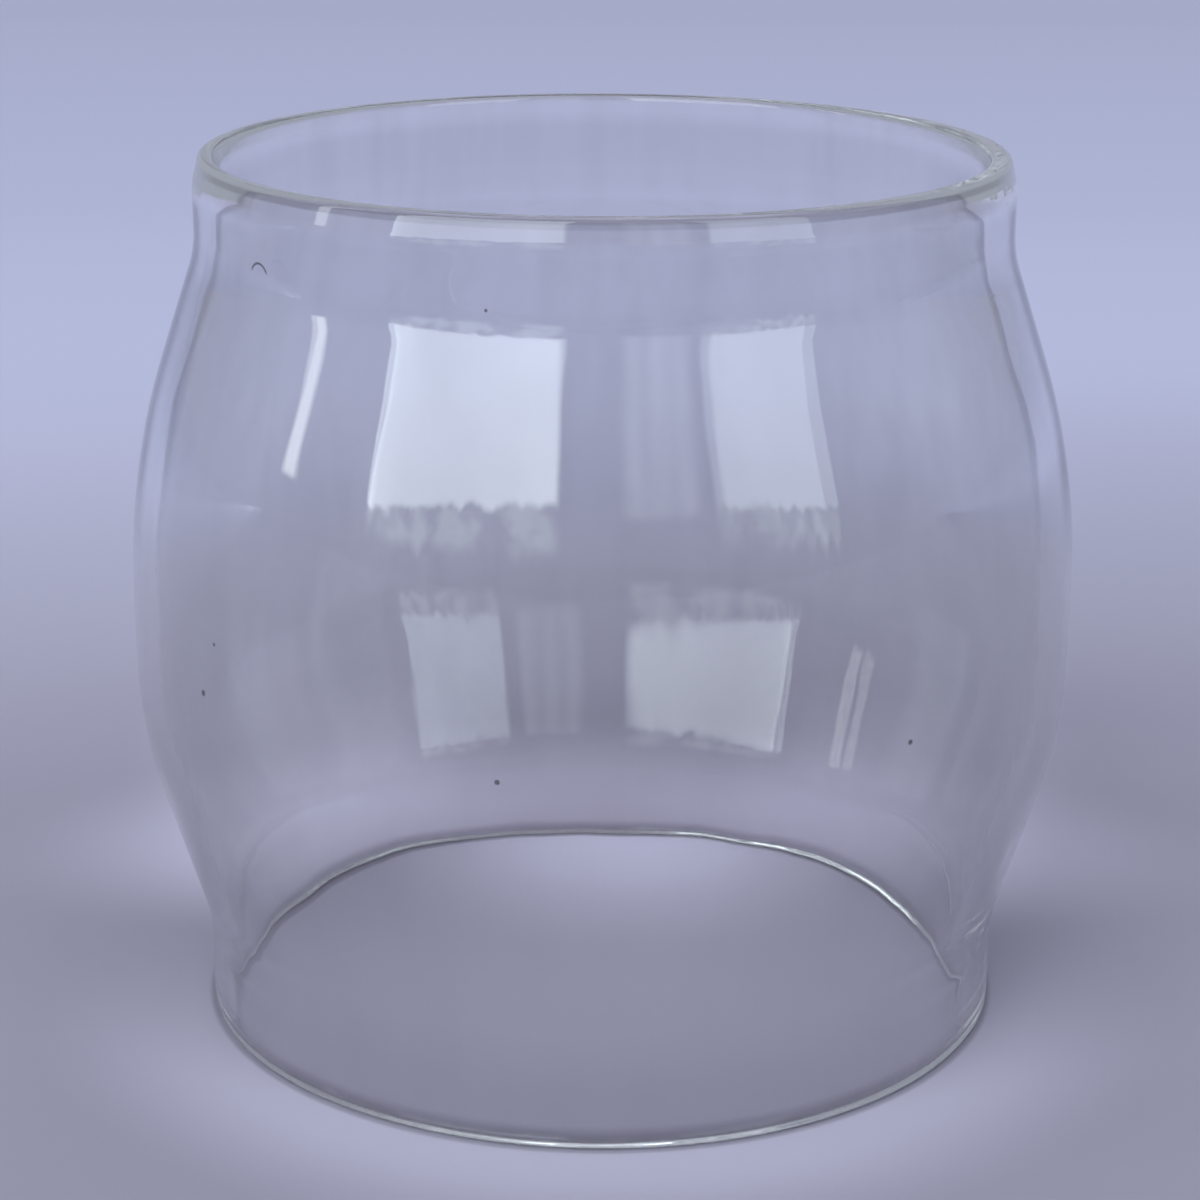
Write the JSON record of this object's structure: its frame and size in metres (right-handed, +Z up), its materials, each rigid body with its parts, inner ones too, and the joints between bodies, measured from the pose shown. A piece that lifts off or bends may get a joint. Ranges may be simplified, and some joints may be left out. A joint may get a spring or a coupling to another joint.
{
  "type": "lantern glass globe",
  "caption": "Clear glass globe for a lantern: a barrel-shaped wall of blown glass, open at both ends, with a straight collar and a fire-polished rim at each.",
  "frame": {"origin": "centre of the base rim, on the surface the globe stands on", "axes": "+Z up along the axis of the glass, from the base rim to the top rim; the glass is the same all round, so X and Y are free"},
  "size_m": [0.12, 0.12, 0.111],
  "materials": {
    "clear_glass": "clear blown glass, smooth and fire-polished at both rims, with faint waves in the wall, a few seeds, and light dust and smears from use"
  },
  "bodies": {
    "root": {"glass_globe": "clear_glass"}
  },
  "joints": []
}
